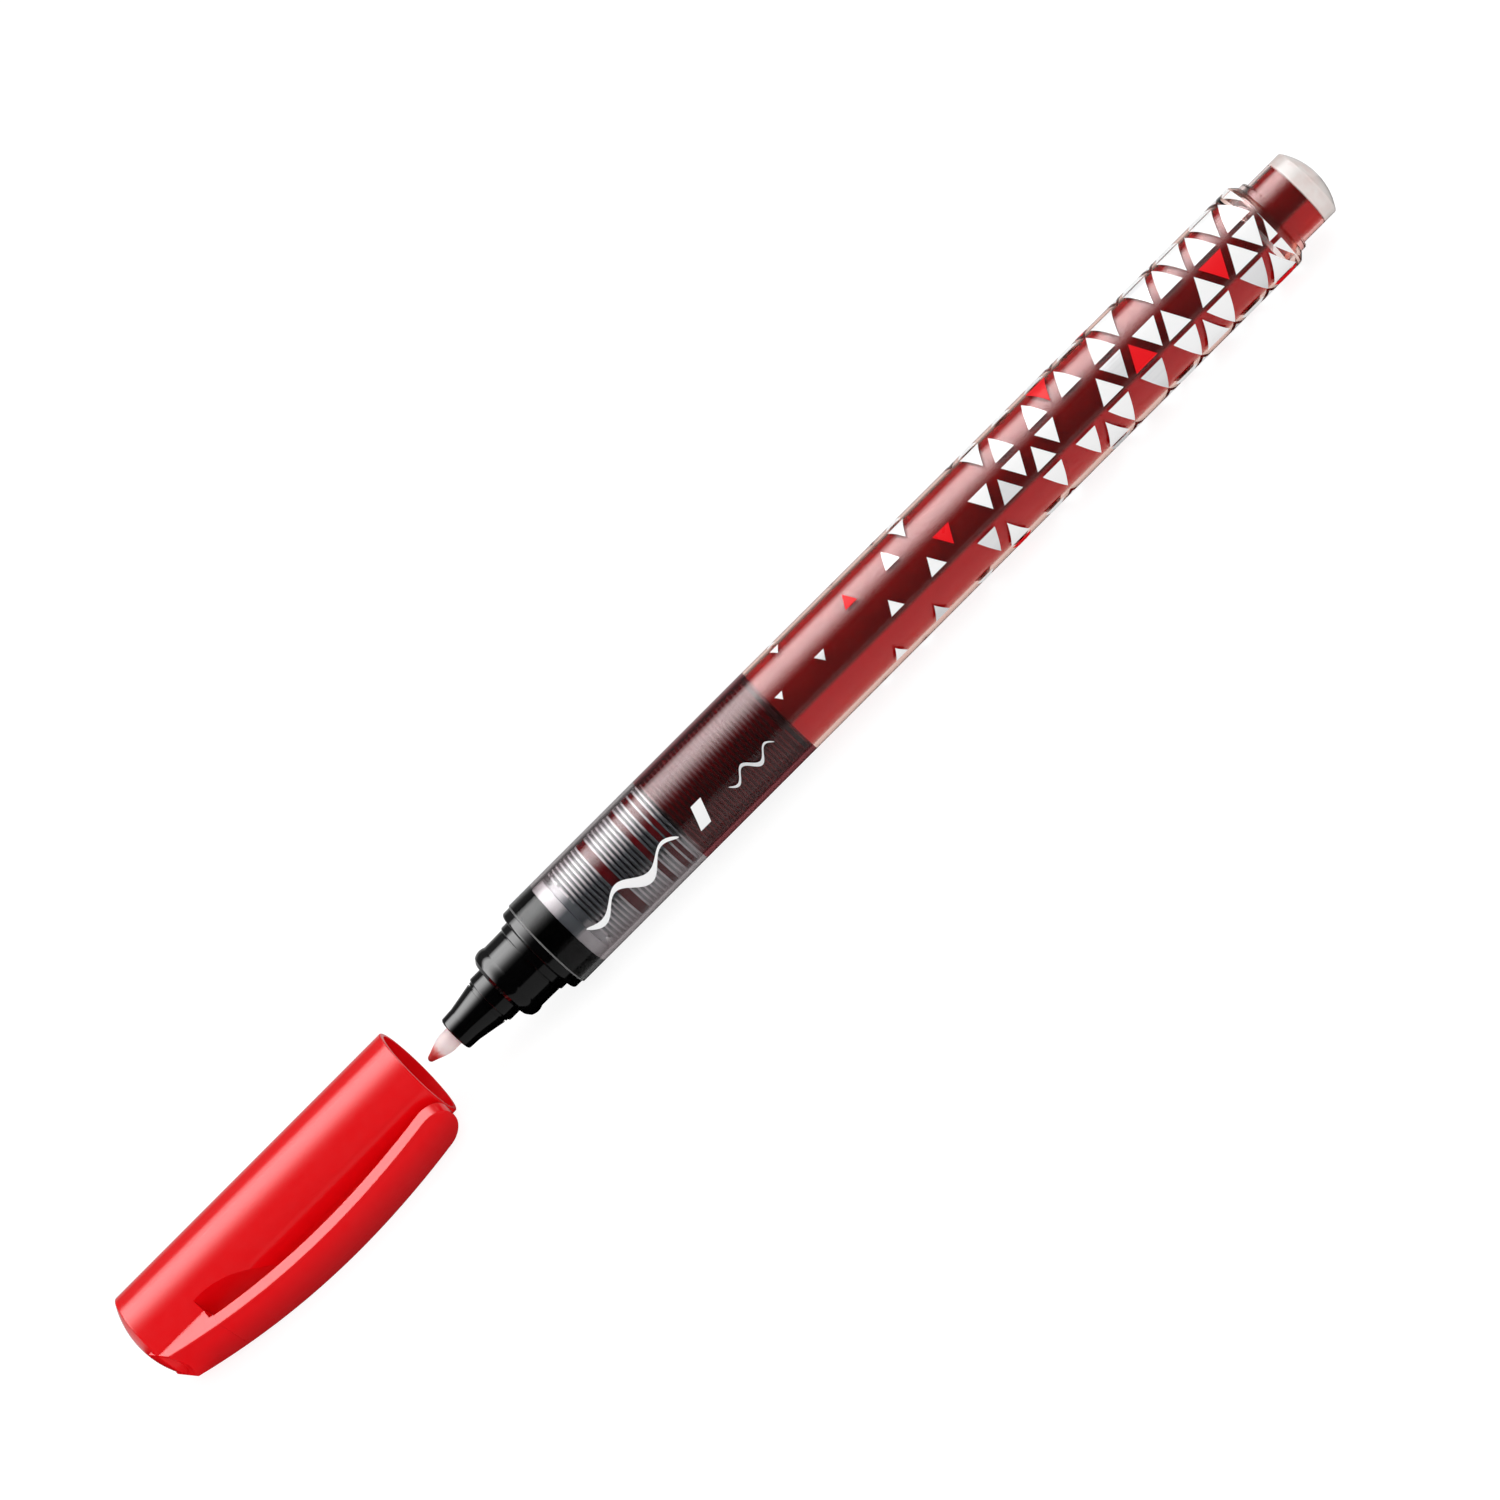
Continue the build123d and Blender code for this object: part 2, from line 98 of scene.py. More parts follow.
# ---- Places ------------------------------------------------------------------------------------------
def at(station, radius, angle):
    """Point in metres from a station, a distance from the axis and an angle round the pen."""
    turn = math.radians(VIEW_ELEVATION - angle)
    x = (station - ORIGIN_STATION) * MM
    return (x, -radius * math.cos(turn) * MM, radius * math.sin(turn) * MM)


def barrel_radius(station):
    """Outer radius of the barrel, which has a slight draft towards the tail."""
    share = min(max((station - DRAFT_FROM) / (BARREL_REAR - DRAFT_FROM), 0.0), 1.0)
    return BARREL_R + (BARREL_TAIL_R - BARREL_R) * share


# ---- Material helpers --------------------------------------------------------------------------------
def new_material(name):
    """An empty node material with a Principled shader; returns the material, its nodes, links and shader."""
    material = bpy.data.materials.new(name)
    material.use_nodes = True
    nodes = material.node_tree.nodes
    shader = nodes["Principled BSDF"]
    return material, nodes, material.node_tree.links, shader


def grey(value):
    """Grey with the same value in red, green and blue."""
    return (value, value, value)


def object_coordinates(nodes, links, scale=(1.0, 1.0, 1.0)):
    """Object-space position, stretched by a scale for each axis."""
    place = nodes.new("ShaderNodeTexCoord")
    mapping = nodes.new("ShaderNodeMapping")
    mapping.inputs["Scale"].default_value = scale
    links.new(place.outputs["Object"], mapping.inputs["Vector"])
    return mapping.outputs["Vector"]


def noise(nodes, links, vector, scale, detail=3.0):
    """Noise value at a scale in features per metre."""
    texture = nodes.new("ShaderNodeTexNoise")
    texture.inputs["Scale"].default_value = scale
    texture.inputs["Detail"].default_value = detail
    links.new(vector, texture.inputs["Vector"])
    return texture.outputs["Fac"]


def ramp(nodes, links, value, stops, interpolation="LINEAR"):
    """Colour ramp over a value; stops are (position, colour)."""
    node = nodes.new("ShaderNodeValToRGB")
    node.color_ramp.interpolation = interpolation
    elements = node.color_ramp.elements
    while len(elements) < len(stops):
        elements.new(0.5)
    for element, (position, colour) in zip(elements, stops):
        element.position = position
        element.color = (*colour, 1.0)
    links.new(value, node.inputs["Fac"])
    return node.outputs["Color"]


def position_parts(nodes, links):
    """X, Y and Z of the position in the shared frame, in metres."""
    split = nodes.new("ShaderNodeSeparateXYZ")
    links.new(object_coordinates(nodes, links), split.inputs["Vector"])
    return split.outputs


def share_between(nodes, links, value, low, high):
    """How far a value in metres is between two lengths in mm, from 0 to 1."""
    share = nodes.new("ShaderNodeMapRange")
    share.inputs["From Min"].default_value = low * MM
    share.inputs["From Max"].default_value = high * MM
    links.new(value, share.inputs["Value"])
    return share.outputs["Result"]


def station_share(nodes, links, stops):
    """How far along the pen the position is between the first and the last stop's station, from 0 to 1."""
    low = stops[0][0] - ORIGIN_STATION
    high = stops[-1][0] - ORIGIN_STATION
    return share_between(nodes, links, position_parts(nodes, links)["X"], low, high)


def axis_distance_share(nodes, links, near, far):
    """How far the position is between two distances from the pen's axis, in mm, from 0 to 1."""
    parts = position_parts(nodes, links)
    flat = nodes.new("ShaderNodeCombineXYZ")
    links.new(parts["Y"], flat.inputs["X"])
    links.new(parts["Z"], flat.inputs["Y"])
    distance = nodes.new("ShaderNodeVectorMath")
    distance.operation = "LENGTH"
    links.new(flat.outputs["Vector"], distance.inputs[0])
    return share_between(nodes, links, distance.outputs["Value"], near, far)


def spread(stops):
    """The same stops, with places from 0 at the first to 1 at the last."""
    first = stops[0][0]
    last = stops[-1][0]
    return [((place - first) / (last - first), colour) for place, colour in stops]


def station_ramp(nodes, links, stops, interpolation="LINEAR"):
    """Colour ramp along the pen; stops are (station, colour)."""
    return ramp(nodes, links, station_share(nodes, links, stops), spread(stops), interpolation)


def height_ramp(nodes, links, stops):
    """Colour ramp over the height above the pen's axis; stops are (height in mm, colour)."""
    height = position_parts(nodes, links)["Z"]
    share = share_between(nodes, links, height, stops[0][0], stops[-1][0])
    return ramp(nodes, links, share, spread(stops))


def mix_colours(nodes, links, factor, first, second):
    """Colour that goes from the first to the second as the factor goes from 0 to 1."""
    mix = nodes.new("ShaderNodeMix")
    mix.data_type = "RGBA"
    links.new(factor, mix.inputs["Factor"])
    links.new(first, mix.inputs["A"])
    links.new(second, mix.inputs["B"])
    return mix.outputs["Result"]


def bump(nodes, links, shader, height, distance):
    """Bump from a height value; distance is the height's full depth in metres."""
    node = nodes.new("ShaderNodeBump")
    node.inputs["Distance"].default_value = distance
    node.inputs["Strength"].default_value = 1.0
    links.new(height, node.inputs["Height"])
    links.new(node.outputs["Normal"], shader.inputs["Normal"])


def moulded_plastic(name, colour, shade, roughness, ior=1.5):
    """Polished moulded plastic with faint flow marks in its colour, uneven gloss and a fine orange-peel."""
    material, nodes, links, shader = new_material(name)
    flow = noise(nodes, links, object_coordinates(nodes, links, (60.0, 260.0, 260.0)), 1.0, 4.0)
    links.new(ramp(nodes, links, flow, [(0.3, shade), (0.7, colour)]), shader.inputs["Base Color"])
    fine = object_coordinates(nodes, links)
    wear = noise(nodes, links, fine, 900.0, 5.0)
    low = grey(roughness * 0.9)
    high = grey(roughness * 1.12)
    links.new(ramp(nodes, links, wear, [(0.3, low), (0.7, high)]), shader.inputs["Roughness"])
    bump(nodes, links, shader, noise(nodes, links, fine, 900.0, 2.0), 0.0000005)
    shader.inputs["IOR"].default_value = ior
    return material


# ---- Materials ---------------------------------------------------------------------------------------
def red_plastic():
    """Cap plastic with a soft sheen, and painted shade low on the clip and its root: a deeper red towards the
    bottom.
    """
    material = moulded_plastic("red_cap_plastic", (0.88, 0.0022, 0.006), (0.83, 0.0018, 0.005), 0.18, 1.5)
    nodes = material.node_tree.nodes
    links = material.node_tree.links
    base = nodes["Principled BSDF"].inputs["Base Color"]
    flowing = base.links[0].from_socket
    # Painted shade: away from the axis, on the clip and its root, the red darkens towards the bottom.
    painted_shade = height_ramp(nodes, links, [(-5.0, (0.42, 0.006, 0.008)), (-1.2, (0.86, 0.0022, 0.006))])
    outward = axis_distance_share(nodes, links, PAINTED_SHADE_FROM_R, PAINTED_SHADE_FULL_R)
    links.new(mix_colours(nodes, links, outward, flowing, painted_shade), base)
    return material


def black_plastic():
    """Polished black of the grip and the nose cone."""
    dark = (0.0022, 0.0022, 0.0024)
    darker = (0.0014, 0.0014, 0.0016)
    return moulded_plastic("black_grip_plastic", dark, darker, 0.1, 1.55)


def barrel_plastic():
    """Clear barrel whose front length has a smoky see-through tint with a sharp end, and a painted glint on
    its cut edge, which is pale and less clear.

    Seen edge-on, the wall shows more of its own colour: warm from the ink, and dark where it is tinted. Over
    the wet fins a film of ink on the wall makes the tint redder.
    """
    material, nodes, links, shader = new_material("clear_barrel_plastic")
    clear = (1.0, 0.90, 0.88)
    warm = (1.0, 0.56, 0.45)
    # Painted glint: the front edge is pale and less clear, where the cut edge would catch the light.
    edge = BARREL_FRONT + PAINTED_GLINT_EDGE
    front = [(0.0, grey(0.35)), (edge, grey(0.12))]
    rear = TINT_END + 1.0
    smoky = (0.80, 0.79, 0.80)
    filmed = (0.68, 0.60, 0.60)
    face_on = front + [(SECTION_REAR, smoky), (DRY_TO, filmed), (TINT_END, clear), (rear, clear)]
    smoky_edge = (0.20, 0.165, 0.17)
    filmed_edge = (0.09, 0.008, 0.010)
    edge_on = front + [(SECTION_REAR, smoky_edge), (DRY_TO, filmed_edge), (TINT_END, warm), (rear, warm)]
    facing = nodes.new("ShaderNodeLayerWeight")
    facing.inputs["Blend"].default_value = 0.5  # Facing is then one minus the cosine of the viewing angle
    plain = station_ramp(nodes, links, face_on, "CONSTANT")
    dense = station_ramp(nodes, links, edge_on, "CONSTANT")
    edgeways = ramp(nodes, links, facing.outputs["Facing"], [(0.2, grey(0.0)), (0.52, grey(1.0))])
    tint = mix_colours(nodes, links, edgeways, plain, dense)
    links.new(tint, shader.inputs["Base Color"])
    # The painted glint also makes the front edge less clear.
    clarity = [(0.0, grey(0.6)), (edge, grey(1.0)), (rear, grey(1.0))]
    links.new(station_ramp(nodes, links, clarity, "CONSTANT"), shader.inputs["Transmission Weight"])
    shader.inputs["Roughness"].default_value = 0.03
    shader.inputs["IOR"].default_value = 1.39
    return material


def plug_plastic():
    """Clear moulding with a milky closed end."""
    material, nodes, links, shader = new_material("clear_plug_plastic")
    vector = object_coordinates(nodes, links)
    cloud = noise(nodes, links, vector, 500.0, 4.0)
    milk = ramp(nodes, links, cloud, [(0.35, (0.90, 0.74, 0.70)), (0.65, (0.97, 0.91, 0.88))])
    # The see-through colour is redder towards the bottom and paler towards the top.
    glassy = height_ramp(nodes, links, [(-1.5, (1.0, 0.50, 0.46)), (1.0, (1.0, 0.82, 0.79))])
    milky_to = MILKY_FROM + MILKY_BLEND
    milky = station_ramp(nodes, links, [(MILKY_FROM, grey(0.0)), (milky_to, grey(1.0))])
    links.new(mix_colours(nodes, links, milky, glassy, milk), shader.inputs["Base Color"])
    clarity = [(MILKY_FROM, grey(1.0)), (milky_to, grey(0.2))]
    links.new(station_ramp(nodes, links, clarity), shader.inputs["Transmission Weight"])
    bump(nodes, links, shader, noise(nodes, links, vector, 700.0, 2.0), 0.000001)
    shader.inputs["Roughness"].default_value = 0.06
    shader.inputs["IOR"].default_value = 1.4
    return material


def liquid_ink():
    """Red ink with painted light: a painted glow makes it bright red low down, where the pale surface would
    light it, and painted shade makes it almost black-red higher up.

    It wets the barrel's wall, so hardly anything is mirrored where the two meet.
    """
    material, nodes, links, shader = new_material("liquid_red_ink")
    # Painted light in the ink's colour: a painted glow low down, painted shade in a band above it, and a
    # little lighter at the top.
    painted_shade = (0.18, 0.007, 0.007)
    glow = (0.84, 0.006, 0.011)
    upper = (0.22, 0.009, 0.011)
    stops = [(-5.0, glow), (0.35, glow), (0.7, painted_shade), (3.2, painted_shade), (4.0, upper), (5.0, upper)]
    tone = height_ramp(nodes, links, stops)
    links.new(tone, shader.inputs["Base Color"])
    shader.inputs["Roughness"].default_value = 0.06
    shader.inputs["IOR"].default_value = 1.12
    return material


def held_ink():
    """Ink held between the fins."""
    return moulded_plastic("held_red_ink", (0.22, 0.004, 0.008), (0.16, 0.002, 0.005), 0.08, 1.12)


def collector_plastic():
    """Pale fins whose colour turns darker towards the axis, down to the stem; the rear fins are stained by
    the ink.

    Painted light: the fins are brightest high up and low down, where the light above and the pale surface
    below would reach them, with painted shade in a band between.
    """
    material, nodes, links, shader = new_material("collector_plastic")
    vector = object_coordinates(nodes, links)
    outward = axis_distance_share(nodes, links, FIN_ROOT_R, FIN_RIM_R)
    # Painted light and shade on the clean fins: pale low down and high up, slate in a painted shade band
    # between.
    pale = (0.98, 0.93, 0.95)
    painted_shade_slate = (0.21, 0.235, 0.255)
    clean_with_painted_light = [(-5.0, pale), (0.4, pale), (0.8, painted_shade_slate), (2.7, painted_shade_slate), (3.3, pale), (5.0, pale)]
    clean_rim_painted_light = height_ramp(nodes, links, clean_with_painted_light)
    # The stained fins carry the same painted light: a painted glow low down, painted shade in the middle,
    # lighter at the top.
    stained_painted_glow_low = (0.36, 0.012, 0.016)
    stained_painted_shade_mid = (0.10, 0.009, 0.009)
    stained_painted_light_top = (0.32, 0.08, 0.09)
    lower = [(-5.0, stained_painted_glow_low), (0.4, stained_painted_glow_low), (0.8, stained_painted_shade_mid)]
    stained_with_painted_light = lower + [(2.7, stained_painted_shade_mid), (3.3, stained_painted_light_top), (5.0, stained_painted_light_top)]
    stained_from = DRY_TO + STAIN_BLEND
    along = station_ramp(nodes, links, [(DRY_TO, grey(0.0)), (stained_from, grey(1.0))])
    rim = mix_colours(nodes, links, along, clean_rim_painted_light, height_ramp(nodes, links, stained_with_painted_light))
    dark = (0.28, 0.29, 0.31)
    soaked = (0.02, 0.002, 0.003)
    stem = station_ramp(nodes, links, [(DRY_TO, dark), (stained_from, soaked)])
    links.new(mix_colours(nodes, links, outward, stem, rim), shader.inputs["Base Color"])
    bump(nodes, links, shader, noise(nodes, links, vector, 1800.0, 2.0), 0.000001)
    shader.inputs["Roughness"].default_value = 0.22
    shader.inputs["IOR"].default_value = 1.36
    return material


def seal_rubber():
    """Soft dark rubber, reddened by the ink."""
    return moulded_plastic("seal_rubber", (0.10, 0.012, 0.014), (0.07, 0.008, 0.010), 0.6, 1.5)


def liner_plastic():
    """Uncoloured plastic of the cap's liner."""
    return moulded_plastic("liner_plastic", (0.72, 0.66, 0.64), (0.66, 0.60, 0.58), 0.4, 1.5)


def fibre(name, stops):
    """Bonded fibres that run along the pen, coloured by station; stops are (station, colour)."""
    material, nodes, links, shader = new_material(name)
    bleed = noise(nodes, links, object_coordinates(nodes, links, (400.0, 3000.0, 3000.0)), 1.0, 4.0)
    uneven = 0.2  # the colours' borders wander by this share of the whole length
    blur = nodes.new("ShaderNodeMath")
    blur.operation = "MULTIPLY_ADD"
    blur.inputs[1].default_value = uneven
    blur.inputs[2].default_value = -uneven / 2
    links.new(bleed, blur.inputs[0])
    shifted = nodes.new("ShaderNodeMath")
    shifted.operation = "ADD"
    links.new(station_share(nodes, links, stops), shifted.inputs[0])
    links.new(blur.outputs["Value"], shifted.inputs[1])
    links.new(ramp(nodes, links, shifted.outputs["Value"], spread(stops)), shader.inputs["Base Color"])
    shader.inputs["Roughness"].default_value = 0.6
    shader.inputs["Subsurface Weight"].default_value = 0.2
    shader.inputs["Subsurface Scale"].default_value = 0.0005
    strands = noise(nodes, links, object_coordinates(nodes, links, (300.0, 9000.0, 9000.0)), 1.0, 3.0)
    bump(nodes, links, shader, strands, 0.00002)
    return material


def nib_fibre():
    """The nib's fibres: soaked in red at the point, nearly white behind it, and pinkish near the nose."""
    red = (0.58, 0.012, 0.010)
    soaked = (0.40, 0.016, 0.010)
    white = (0.97, 0.86, 0.85)
    pink = (0.93, 0.70, 0.70)
    blend = (0.78, 0.20, 0.18)
    stops = [(0.0, soaked), (0.7, red), (1.1, blend), (1.6, white), (2.1, white), (3.4, pink)]
    return fibre("nib_fibre", stops)


def white_print():
    """Opaque white print."""
    return moulded_plastic("white_print", (0.97, 0.97, 0.97), (0.95, 0.95, 0.95), 0.4, 1.5)


def red_print():
    """Opaque red print."""
    return moulded_plastic("red_print", (0.88, 0.002, 0.008), (0.84, 0.002, 0.007), 0.3, 1.3)


def silver_foil():
    """Silver print: pale pigment with a metallic share and a faint grain along the pen."""
    material, nodes, links, shader = new_material("silver_foil")
    grain = noise(nodes, links, object_coordinates(nodes, links, (200.0, 12000.0, 12000.0)), 1.0, 3.0)
    tone = ramp(nodes, links, grain, [(0.3, (0.86, 0.86, 0.87)), (0.7, (0.94, 0.94, 0.95))])
    links.new(tone, shader.inputs["Base Color"])
    links.new(ramp(nodes, links, grain, [(0.3, grey(0.3)), (0.7, grey(0.4))]), shader.inputs["Roughness"])
    shader.inputs["Metallic"].default_value = 0.22
    return material


# ---- Mesh helpers ------------------------------------------------------------------------------------
def add_piece(name, vertices, faces, material, body):
    """A smooth-shaded mesh piece that rides on a body."""
    mesh = bpy.data.meshes.new(name)
    mesh.from_pydata(vertices, [], faces)
    shape = bmesh.new()
    shape.from_mesh(mesh)
    bmesh.ops.recalc_face_normals(shape, faces=shape.faces)
    shape.to_mesh(mesh)
    shape.free()
    mesh.polygons.foreach_set("use_smooth", [True] * len(mesh.polygons))
    mesh.set_sharp_from_angle(angle=math.radians(35.0))
    mesh.validate()
    mesh.materials.append(material)
    piece = bpy.data.objects.new(name, mesh)
    bpy.context.scene.collection.objects.link(piece)
    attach(piece, body)
    return piece


def wrap_strip(vertices, faces, rungs):
    """Adds a thin closed strip that hugs the barrel; each rung is a row of (station, angle) points."""
    start = len(vertices)
    stride = 2 * len(rungs[0])
    for rung in rungs:
        for station, angle in rung:
            base = barrel_radius(station) + PRINT_LIFT
            vertices.append(at(station, base + PRINT_THICKNESS, angle))
            vertices.append(at(station, base, angle))
    for i in range(len(rungs) - 1):
        a = start + stride * i
        b = a + stride
        for j in range(0, stride - 2, 2):
            faces.append((a + j, b + j, b + j + 2, a + j + 2))
            faces.append((a + j + 1, a + j + 3, b + j + 3, b + j + 1))
        faces.append((a, a + 1, b + 1, b))
        faces.append((a + stride - 2, b + stride - 2, b + stride - 1, a + stride - 1))
    end = start + stride * (len(rungs) - 1)
    for j in range(0, stride - 2, 2):
        faces.append((start + j, start + j + 2, start + j + 3, start + j + 1))
        faces.append((end + j, end + j + 1, end + j + 3, end + j + 2))


# ---- Printed triangles -------------------------------------------------------------------------------
ROW_PITCH = 45.0
FIRST_ROW_MIDDLE = -45.0
ROW_HEIGHTS = (44.5, 33.4, 44.5, 40.0, 40.0, 40.0, 40.0, 40.0)  # degrees round the pen
TAIL_CENTRE = 110.67  # station of the column nearest the tail
TAIL_STEP = 2.166
FRONT_STEP = 2.67
STEP_CHANGE = 18  # columns with the shorter step
FULL_BASE = 2.86
PRINT_LIMIT = 110.3  # the barrel's shoulder cuts the print off here
ROW_FILL = 0.95  # the largest triangles reach over this share of their row's height
LEAST_HALF = 0.01  # half of an apex's width, so that it isn't a point
BASE_SHARE = 0.15  # a small triangle's base moves in from its row's edge by this share of what it lacks
SQUATNESS = 1.3  # small triangles are lower for their width than large ones
ROWS = (
    "WSWWWWS.WW.WRS.WW...WS.R..W.",
    "WWWRW.WWRSW..WWWSW.RW.W..S.W",
    "WWS.WWW.S.WWW.W..WS..S.W....",
    "WRWWS.WWW.WS..WW.R.W..W.W...",
    "WWWS.WWRWW.W.SW.WW.W.S...W..",
    "SWW.WWW.WSWW.W.RW..WW.W.S...",
    "WWWWRW.SWW.WW..WS.W.W..R.W..",
    "WSW.WWWW.RWWS.W.WW..WS.W..W.",
)


def column_station(column):
    """Station of a column's centre, counted from the tail."""
    near = min(column, STEP_CHANGE)
    return TAIL_CENTRE - near * TAIL_STEP - (column - near) * FRONT_STEP


def triangle_base(column):
    """Length of a triangle's base; the triangles shrink towards the front."""
    marks = ((0, FULL_BASE), (7, 2.8), (13, 2.4), (17, 2.4), (22, 1.65), (27, 0.95))
    for (first, wide), (last, narrow) in zip(marks, marks[1:]):
        if column <= last:
            return wide + (narrow - wide) * (column - first) / (last - first)
    return marks[-1][1]


def triangle_rungs(row, column):
    """Rungs of one triangle between its base and its apex."""
    base = triangle_base(column)
    full_arc = ROW_HEIGHTS[row] * ROW_FILL
    arc = full_arc * (base / FULL_BASE) ** SQUATNESS
    inset = BASE_SHARE * (full_arc - arc)
    middle = FIRST_ROW_MIDDLE + ROW_PITCH * row
    points_up = (row + column) % 2 == 1
    to_apex = -1.0 if points_up else 1.0
    base_angle = middle - to_apex * (ROW_HEIGHTS[row] / 2 - inset)
    centre = column_station(column)
    steps = 12
    rungs = []
    for i in range(steps + 1):
        share = i / steps
        half = max(base / 2 * (1 - share), LEAST_HALF)
        first = min(centre - half, PRINT_LIMIT - 2 * LEAST_HALF)
        last = min(centre + half, PRINT_LIMIT)
        angle = base_angle + to_apex * arc * share
        rungs.append(((first, angle), (last, angle)))
    return rungs


def make_triangles(body, prints):
    """All printed triangles, one mesh for each colour."""
    for letter, (name, material, slot) in prints.items():
        vertices = []
        faces = []
        for row, pattern in enumerate(ROWS):
            for column, mark in enumerate(pattern):
                if mark == letter:
                    wrap_strip(vertices, faces, triangle_rungs(row, column))
        add_piece(name, vertices, faces, material, body)


# ---- Printed mark ------------------------------------------------------------------------------------
def brush_stroke(front, rear, angle, swing, waves, thick, thin):
    """Rungs of a wavy stroke along the pen that swells and thins like a brush line.

    Front and rear are stations; angle, swing, thick and thin are in degrees round the pen.
    """
    steps = 72
    strands = 6
    swell_lead = 0.9  # radians by which the swelling runs ahead of the wave
    least_half = 0.1  # degrees, so that the ends aren't points
    rungs = []
    for i in range(steps + 1):
        share = i / steps
        phase = 2 * math.pi * waves * share
        end_taper = math.sqrt(max(math.sin(math.pi * share), 0.0))
        swell = 0.5 + 0.5 * math.sin(phase + swell_lead)
        half = (thin + (thick - thin) * swell) * end_taper / 2 + least_half
        station = front + (rear - front) * share
        middle = angle + swing * math.sin(phase) * (0.75 + 0.25 * end_taper)
        rungs.append([(station, middle + half * (2 * j / strands - 1)) for j in range(strands + 1)])
    return rungs


def slanted_bar(front, width, lean, low_angle, high_angle):
    """Rungs of a bar across the pen whose upper end is further back than its lower end by the lean."""
    steps = 8
    rungs = []
    for i in range(steps + 1):
        share = i / steps
        station = front + lean * share
        angle = low_angle + (high_angle - low_angle) * share
        rungs.append(((station, angle), (station + width, angle)))
    return rungs


def make_mark(body, material):
    """Generic white mark: a brush stroke and a slanted bar."""
    stroke = brush_stroke(front=19.6, rear=31.8, angle=20.0, swing=9.5, waves=2.0, thick=15.0, thin=4.0)
    bar = slanted_bar(front=33.6, width=1.3, lean=0.9, low_angle=34.0, high_angle=6.0)
    vertices = []
    faces = []
    wrap_strip(vertices, faces, stroke)
    wrap_strip(vertices, faces, bar)
    add_piece("white_mark", vertices, faces, material, body)


def make_second_mark(body, material):
    """Thin silver stroke behind the white mark."""
    stroke = brush_stroke(front=38.3, rear=44.3, angle=20.0, swing=7.0, waves=2.0, thick=6.0, thin=3.0)
    vertices = []
    faces = []
    wrap_strip(vertices, faces, stroke)
    add_piece("silver_mark", vertices, faces, material, body)


# ---- Light, floor and camera -------------------------------------------------------------------------
# Each card's glow is (elevation in degrees as seen from the axis, brightness). Elevation 0 is straight
# towards the camera's side, 90 straight up and 270 straight down.
CARD_RADIUS = 420.0
CARD_HALF_LENGTH = 700.0
SOFTBOX_GLOW = (
    (52.0, 0.05),
    (60.0, 0.3),
    (68.0, 1.1),
    (78.0, 3.2),
    (88.0, 5.6),
    (98.0, 7.0),
    (118.0, 6.6),
    (127.0, 3.0),
    (132.0, 1.2),
)
BACK_GLOW = ((133.0, 0.15), (165.0, 0.10), (180.0, 0.42), (209.0, 0.5))
FRONT_GLOW = ((296.0, 0.30), (353.0, 0.28))
NEAR_GLOW = ((353.0, 0.22), (412.0, 0.22))
PAPER_HALF = 1200.0
PAPER_GAP = 0.2  # the floor that is seen through the pen lies this far under the one seen beside it


def make_glow_card(name, glows):
    """Curved light card round the pen's axis, with a glow that changes from one elevation to the next."""
    low = glows[0][0]
    high = glows[-1][0]
    steps = 48
    vertices = []
    for i in range(steps + 1):
        turn = math.radians(low + (high - low) * i / steps)
        y = -CARD_RADIUS * math.cos(turn) * MM
        z = CARD_RADIUS * math.sin(turn) * MM
        vertices.append((-CARD_HALF_LENGTH * MM, y, z))
        vertices.append((CARD_HALF_LENGTH * MM, y, z))
    faces = [(2 * i, 2 * i + 1, 2 * i + 3, 2 * i + 2) for i in range(steps)]
    mesh = bpy.data.meshes.new(name)
    mesh.from_pydata(vertices, [], faces)
    glow = mesh.attributes.new("glow", "FLOAT", "POINT")
    for i in range(steps + 1):
        elevation = low + (high - low) * i / steps
        value = glows[-1][1]
        for (first, dim), (last, bright) in zip(glows, glows[1:]):
            if first <= elevation <= last:
                value = dim + (bright - dim) * (elevation - first) / (last - first)
        glow.data[2 * i].value = value
        glow.data[2 * i + 1].value = value
    material = bpy.data.materials.new(name)
    material.use_nodes = True
    nodes = material.node_tree.nodes
    nodes.clear()
    strength = nodes.new("ShaderNodeAttribute")
    strength.attribute_name = "glow"
    light = nodes.new("ShaderNodeEmission")
    output = nodes.new("ShaderNodeOutputMaterial")
    material.node_tree.links.new(strength.outputs["Fac"], light.inputs["Strength"])
    material.node_tree.links.new(light.outputs["Emission"], output.inputs["Surface"])
    mesh.materials.append(material)
    card = bpy.data.objects.new(name, mesh)
    bpy.context.scene.collection.objects.link(card)
    card.visible_camera = False
    card.visible_diffuse = False
    return card


def make_floor(name, height, tone, glow):
    """Flat pale surface that glows a little, so that shadows on it stay light."""
    mesh = bpy.data.meshes.new(name)
    half = PAPER_HALF * MM
    corners = [(-half, -half, height), (half, -half, height), (half, half, height), (-half, half, height)]
    mesh.from_pydata(corners, [], [(0, 1, 2, 3)])
    material, _, _, shader = new_material(name)
    shader.inputs["Base Color"].default_value = (*grey(tone), 1.0)
    shader.inputs["Roughness"].default_value = 0.9
    shader.inputs["Specular IOR Level"].default_value = 0.1
    shader.inputs["Emission Color"].default_value = (1.0, 1.0, 1.0, 1.0)
    shader.inputs["Emission Strength"].default_value = glow
    mesh.materials.append(material)
    floor = bpy.data.objects.new(name, mesh)
    bpy.context.scene.collection.objects.link(floor)
    return floor


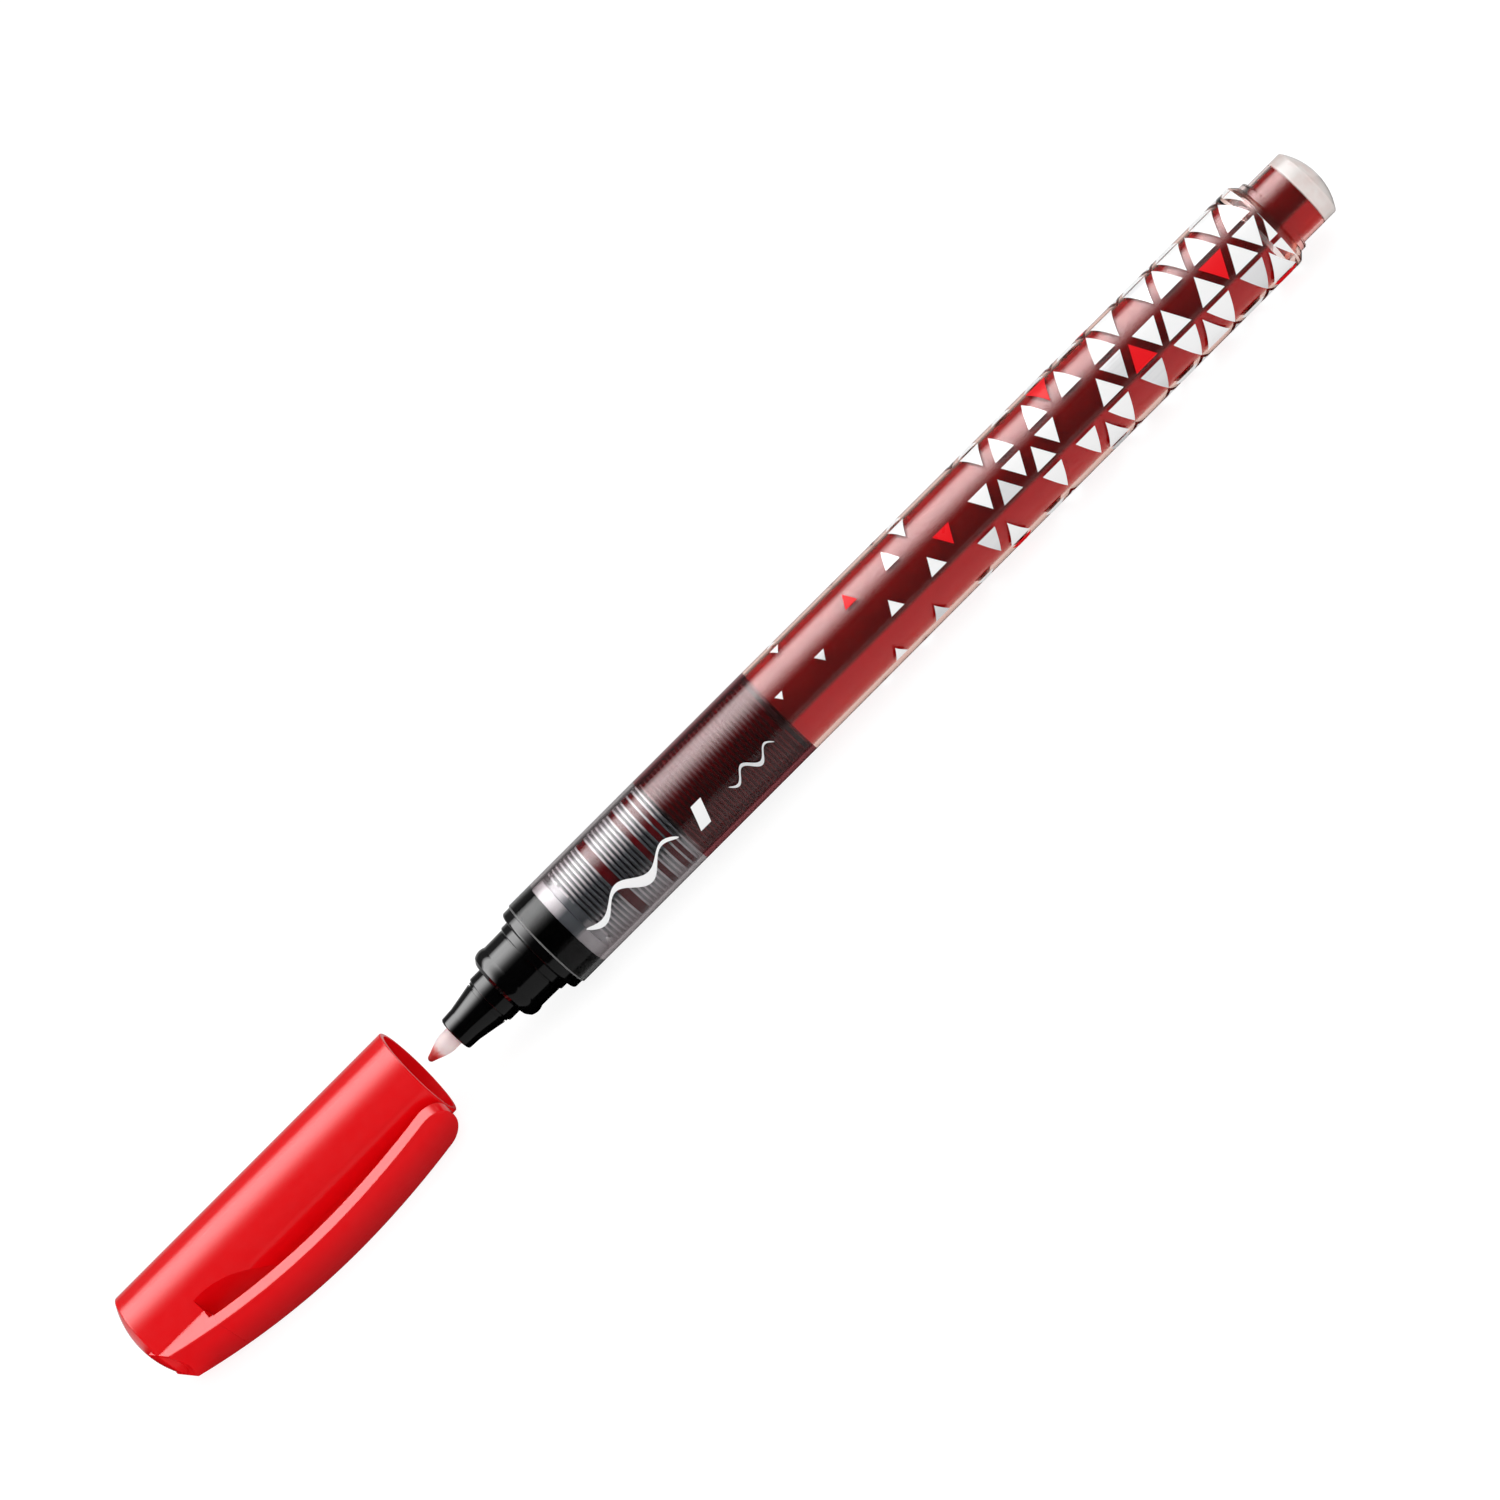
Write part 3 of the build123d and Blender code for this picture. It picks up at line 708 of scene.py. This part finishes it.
def make_camera():
    """Camera at the photograph's angle, with the pen on the picture's diagonal."""
    tilt = math.radians(VIEW_ELEVATION)
    towards = Vector((0.0, -math.cos(tilt), math.sin(tilt)))
    across = Vector((0.0, math.sin(tilt), math.cos(tilt)))
    along = Vector((1.0, 0.0, 0.0))
    place = along * (CAMERA_FOOT - ORIGIN_STATION) * MM + towards * CAMERA_DISTANCE * MM
    aim = along * (AIM_STATION - ORIGIN_STATION) * MM - across * AIM_BELOW_AXIS * MM
    back = (place - aim).normalized()
    level = (along - back * along.dot(back)).normalized()
    upright = back.cross(level)
    roll = math.radians(ROLL)
    right = level * math.cos(roll) - upright * math.sin(roll)
    up = level * math.sin(roll) + upright * math.cos(roll)
    data = bpy.data.cameras.new("camera")
    data.sensor_width = 36.0
    data.lens = data.sensor_width * (place - aim).length / (FRAME_WIDTH * MM)
    data.clip_start = 0.01
    camera = bpy.data.objects.new("camera", data)
    turned = Matrix((right, up, back)).transposed()
    camera.matrix_world = Matrix.Translation(place) @ turned.to_4x4()
    bpy.context.scene.collection.objects.link(camera)
    bpy.context.scene.camera = camera


def set_world():
    """Even light from all round that isn't mirrored, and enough bounces for the clear pieces."""
    world = bpy.data.worlds.new("studio")
    world.use_nodes = True
    world.node_tree.nodes["Background"].inputs["Color"].default_value = (1.0, 1.0, 1.0, 1.0)
    world.node_tree.nodes["Background"].inputs["Strength"].default_value = 1.0
    scene = bpy.context.scene
    scene.world = world
    world.cycles_visibility.glossy = False
    world.cycles_visibility.transmission = False
    scene.view_settings.view_transform = "Standard"
    scene.cycles.max_bounces = 16
    scene.cycles.transmission_bounces = 12
    scene.cycles.transparent_max_bounces = 12


# ---- Assembly ----------------------------------------------------------------------------------------
def main():
    """Looks for the CAD pieces, then the print, the light, the floor and the camera."""
    for thing in list(bpy.data.objects):
        bpy.data.objects.remove(thing)
    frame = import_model()
    cad_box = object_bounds()

    materials = {
        "barrel": barrel_plastic(),
        "tail_plug": plug_plastic(),
        "ink_reservoir": liquid_ink(),
        "collector": collector_plastic(),
        "collector_ink": held_ink(),
        "collector_seal": seal_rubber(),
        "feed_rod": fibre("feed_fibre", [(10.0, (0.5, 0.05, 0.06)), (50.0, (0.35, 0.02, 0.03))]),
        "nib": nib_fibre(),
        "inner_cap": liner_plastic(),
    }
    black = black_plastic()
    materials["front_section"] = black
    materials["nose_cone"] = black
    red = red_plastic()
    materials["cap_shell"] = red
    materials["cap_clip"] = red
    for node, material in materials.items():
        frame["nodes"][node].material_slots[0].material = material

    white = white_print()
    silver = silver_foil()
    prints = {
        "W": ("white_triangles", white, "white_print"),
        "S": ("silver_triangles", silver, "silver_foil"),
        "R": ("red_triangles", red_print(), "red_print"),
    }
    make_triangles("pen", prints)
    make_mark("pen", white)
    make_second_mark("pen", silver)
    make_glow_card("overhead_softbox", SOFTBOX_GLOW)
    make_glow_card("back_wall", BACK_GLOW)
    make_glow_card("front_table", FRONT_GLOW)
    near = make_glow_card("near_wall", NEAR_GLOW)
    near.visible_glossy = False
    floor_height = cad_box[0][2]
    seen = make_floor("floor_paper", floor_height, tone=0.20, glow=0.88)
    seen.visible_diffuse = False
    seen.visible_glossy = False
    seen.visible_transmission = False
    through = make_floor("floor_seen_through", floor_height - PAPER_GAP * MM, tone=0.1, glow=0.78)
    through.visible_camera = False
    through.visible_glossy = False
    make_camera()
    set_world()


main()
